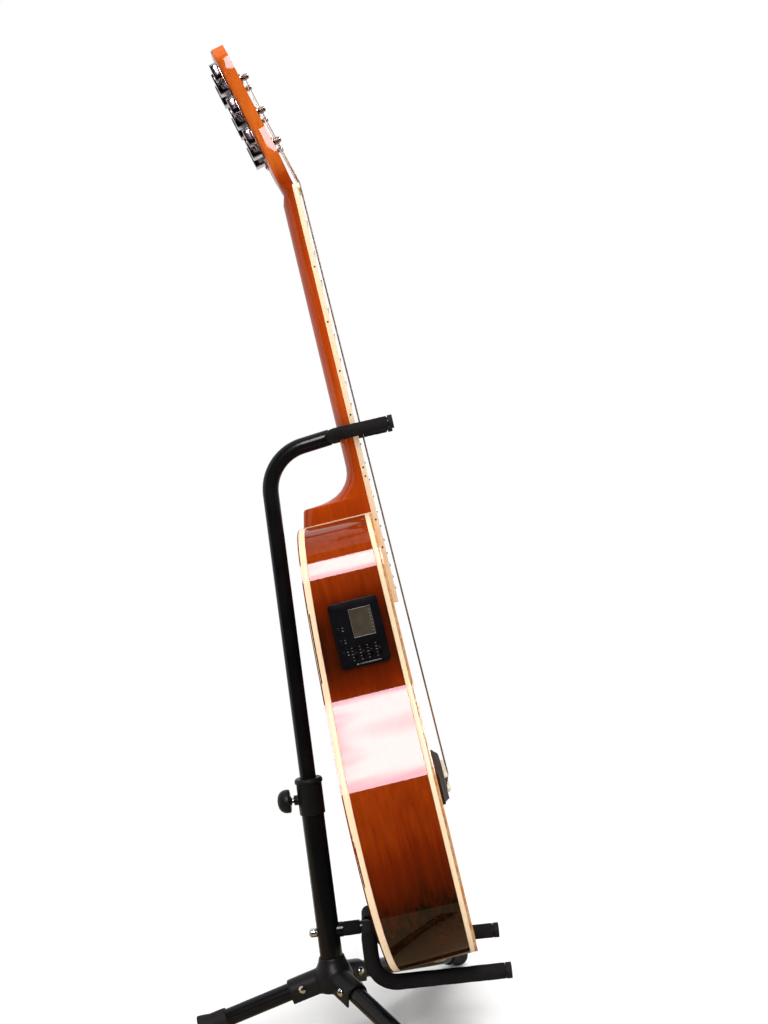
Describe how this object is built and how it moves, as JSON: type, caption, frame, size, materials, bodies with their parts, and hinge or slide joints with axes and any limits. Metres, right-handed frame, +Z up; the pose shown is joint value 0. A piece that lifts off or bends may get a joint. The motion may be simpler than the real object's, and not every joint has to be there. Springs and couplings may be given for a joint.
{
  "type": "guitar on stand",
  "caption": "Acoustic-electric guitar resting on a folding tubular stand with a foam-covered cradle and neck yoke.",
  "frame": {"origin": "middle of the bounding box on the floor", "axes": "+Z up, +X the way the soundboard faces, +Y to the treble side"},
  "size_m": [0.343, 0.5234, 1.0932],
  "materials": {
    "black_steel": "satin black coat",
    "hub_plastic": "moulded, fine grain",
    "bolts": "polished",
    "foam": "closed-cell foam",
    "rubber": "matt",
    "top_wood": "gloss lacquer",
    "body_wood": "gloss lacquer",
    "binding": "cream",
    "inner_wood": "bare",
    "rosewood": "oiled",
    "neck_wood": "gloss lacquer",
    "bone": "ivory",
    "fret_wire": "polished crown",
    "string_wire": "wound bronze",
    "tuner_chrome": "polished",
    "preamp_black": "satin",
    "screen": "tinted window"
  },
  "bodies": {
    "stand": {"hub": "hub_plastic", "lower_tube": "black_steel", "tube_collar": "hub_plastic", "cradle_bolt": "bolts", "cradle_stem": "black_steel", "cradle_tube": "black_steel", "cradle_foam": "foam", "cradle_caps": "rubber", "leg_bolts": "bolts"},
    "clamp_knob": {"clamp_knob": "hub_plastic"},
    "upper_mast": {"upper_tube": "black_steel", "tube_glide": "hub_plastic", "yoke_tube": "black_steel", "yoke_foam": "foam", "yoke_caps": "rubber"},
    "guitar": {"soundboard": "top_wood", "back_plate": "body_wood", "sides": "body_wood", "body_binding": "binding", "blocks_and_linings": "inner_wood", "braces": "inner_wood", "bridge": "rosewood", "saddle": "bone", "bridge_pins": "bone", "strings": "string_wire", "nut": "bone", "fretboard": "rosewood", "fretboard_binding": "binding", "frets": "fret_wire", "neck": "neck_wood", "truss_rod": "fret_wire", "tuner_housings": "tuner_chrome", "end_pin_jack": "bolts", "preamp_housing": "preamp_black", "preamp_screen": "screen"},
    "leg_rear": {"leg_rear": "black_steel", "foot_rear": "rubber"},
    "leg_left": {"leg_left": "black_steel", "foot_left": "rubber"},
    "leg_right": {"leg_right": "black_steel", "foot_right": "rubber"},
    "tuner_button_1": {"tuner_button_1": "tuner_chrome"},
    "string_post_1": {"string_post_1": "tuner_chrome"},
    "tuner_button_2": {"tuner_button_2": "tuner_chrome"},
    "string_post_2": {"string_post_2": "tuner_chrome"},
    "tuner_button_3": {"tuner_button_3": "tuner_chrome"},
    "string_post_3": {"string_post_3": "tuner_chrome"},
    "tuner_button_4": {"tuner_button_4": "tuner_chrome"},
    "string_post_4": {"string_post_4": "tuner_chrome"},
    "tuner_button_5": {"tuner_button_5": "tuner_chrome"},
    "string_post_5": {"string_post_5": "tuner_chrome"},
    "tuner_button_6": {"tuner_button_6": "tuner_chrome"},
    "string_post_6": {"string_post_6": "tuner_chrome"},
    "preamp_slider_1": {"preamp_slider_1": "preamp_black"},
    "preamp_slider_2": {"preamp_slider_2": "preamp_black"},
    "preamp_slider_3": {"preamp_slider_3": "preamp_black"},
    "preamp_slider_4": {"preamp_slider_4": "preamp_black"},
    "preamp_button_1": {"preamp_button_1": "preamp_black"},
    "preamp_button_2": {"preamp_button_2": "preamp_black"},
    "preamp_button_3": {"preamp_button_3": "preamp_black"}
  },
  "joints": [
    {"name": "leg_rear_fold", "type": "hinge", "parent": "stand", "child": "leg_rear", "pos_m": [-0.05383, 0, 0.05782], "axis": [0, -1, 0], "range_deg": [0, 70]},
    {"name": "leg_left_fold", "type": "hinge", "parent": "stand", "child": "leg_left", "pos_m": [-0.00066, 0.03095, 0.06463], "axis": [-0.859, 0.5, -0.11], "range_deg": [0, 70]},
    {"name": "leg_right_fold", "type": "hinge", "parent": "stand", "child": "leg_right", "pos_m": [-0.00066, -0.03095, 0.06463], "axis": [0.859, 0.5, 0.11], "range_deg": [0, 70]},
    {"name": "mast_height", "type": "slide", "parent": "stand", "child": "upper_mast", "axis": [-0.1271, 0, 0.9919], "range_m": [-0.03, 0]},
    {"name": "clamp_turn", "type": "hinge", "parent": "stand", "child": "clamp_knob", "pos_m": [-0.07431, 0, 0.26286], "axis": [0.9919, 0, 0.1271], "range_deg": [0, 720]},
    {"name": "guitar_lift", "type": "slide", "parent": "stand", "child": "guitar", "axis": [0.8192, 0, 0.5736], "range_m": [0, 0.25]},
    {"name": "tuner_turn_1", "type": "hinge", "parent": "guitar", "child": "tuner_button_1", "pos_m": [-0.10656, -0.022, 0.98516], "axis": [0, -1, 0], "continuous": true},
    {"name": "post_turn_1", "type": "hinge", "parent": "guitar", "child": "string_post_1", "pos_m": [-0.08358, -0.022, 0.98632], "axis": [0.891, 0, 0.454], "continuous": true},
    {"name": "tuner_turn_2", "type": "hinge", "parent": "guitar", "child": "tuner_button_2", "pos_m": [-0.12336, -0.022, 1.01813], "axis": [0, -1, 0], "continuous": true},
    {"name": "post_turn_2", "type": "hinge", "parent": "guitar", "child": "string_post_2", "pos_m": [-0.10038, -0.022, 1.01928], "axis": [0.891, 0, 0.454], "continuous": true},
    {"name": "tuner_turn_3", "type": "hinge", "parent": "guitar", "child": "tuner_button_3", "pos_m": [-0.14152, -0.022, 1.05377], "axis": [0, -1, 0], "continuous": true},
    {"name": "post_turn_3", "type": "hinge", "parent": "guitar", "child": "string_post_3", "pos_m": [-0.11854, -0.022, 1.05493], "axis": [0.891, 0, 0.454], "continuous": true},
    {"name": "tuner_turn_4", "type": "hinge", "parent": "guitar", "child": "tuner_button_4", "pos_m": [-0.10656, 0.022, 0.98516], "axis": [0, 1, 0], "continuous": true},
    {"name": "post_turn_4", "type": "hinge", "parent": "guitar", "child": "string_post_4", "pos_m": [-0.08358, 0.022, 0.98632], "axis": [0.891, 0, 0.454], "continuous": true},
    {"name": "tuner_turn_5", "type": "hinge", "parent": "guitar", "child": "tuner_button_5", "pos_m": [-0.12336, 0.022, 1.01813], "axis": [0, 1, 0], "continuous": true},
    {"name": "post_turn_5", "type": "hinge", "parent": "guitar", "child": "string_post_5", "pos_m": [-0.10038, 0.022, 1.01928], "axis": [0.891, 0, 0.454], "continuous": true},
    {"name": "tuner_turn_6", "type": "hinge", "parent": "guitar", "child": "tuner_button_6", "pos_m": [-0.14152, 0.022, 1.05377], "axis": [0, 1, 0], "continuous": true},
    {"name": "post_turn_6", "type": "hinge", "parent": "guitar", "child": "string_post_6", "pos_m": [-0.11854, 0.022, 1.05493], "axis": [0.891, 0, 0.454], "continuous": true},
    {"name": "tone_slide_1", "type": "slide", "parent": "guitar", "child": "preamp_slider_1", "axis": [-0.2328, -0.0756, 0.9696], "range_m": [-0.0045, 0.0045]},
    {"name": "tone_slide_2", "type": "slide", "parent": "guitar", "child": "preamp_slider_2", "axis": [-0.2328, -0.0756, 0.9696], "range_m": [-0.0045, 0.0045]},
    {"name": "tone_slide_3", "type": "slide", "parent": "guitar", "child": "preamp_slider_3", "axis": [-0.2328, -0.0756, 0.9696], "range_m": [-0.0045, 0.0045]},
    {"name": "tone_slide_4", "type": "slide", "parent": "guitar", "child": "preamp_slider_4", "axis": [-0.2328, -0.0756, 0.9696], "range_m": [-0.0045, 0.0045]},
    {"name": "button_press_1", "type": "slide", "parent": "guitar", "child": "preamp_button_1", "axis": [-0.0177, 0.9971, 0.0736], "range_m": [0, 0.001], "stiffness_N_per_m": 200, "springref_m": -0.002},
    {"name": "button_press_2", "type": "slide", "parent": "guitar", "child": "preamp_button_2", "axis": [-0.0177, 0.9971, 0.0736], "range_m": [0, 0.001], "stiffness_N_per_m": 200, "springref_m": -0.002},
    {"name": "button_press_3", "type": "slide", "parent": "guitar", "child": "preamp_button_3", "axis": [-0.0177, 0.9971, 0.0736], "range_m": [0, 0.001], "stiffness_N_per_m": 200, "springref_m": -0.002}
  ],
  "couplings": [
    {"joint": "post_turn_1", "follows": "tuner_turn_1", "ratio": 0.066667},
    {"joint": "post_turn_2", "follows": "tuner_turn_2", "ratio": 0.066667},
    {"joint": "post_turn_3", "follows": "tuner_turn_3", "ratio": 0.066667},
    {"joint": "post_turn_4", "follows": "tuner_turn_4", "ratio": 0.066667},
    {"joint": "post_turn_5", "follows": "tuner_turn_5", "ratio": 0.066667},
    {"joint": "post_turn_6", "follows": "tuner_turn_6", "ratio": 0.066667}
  ]
}
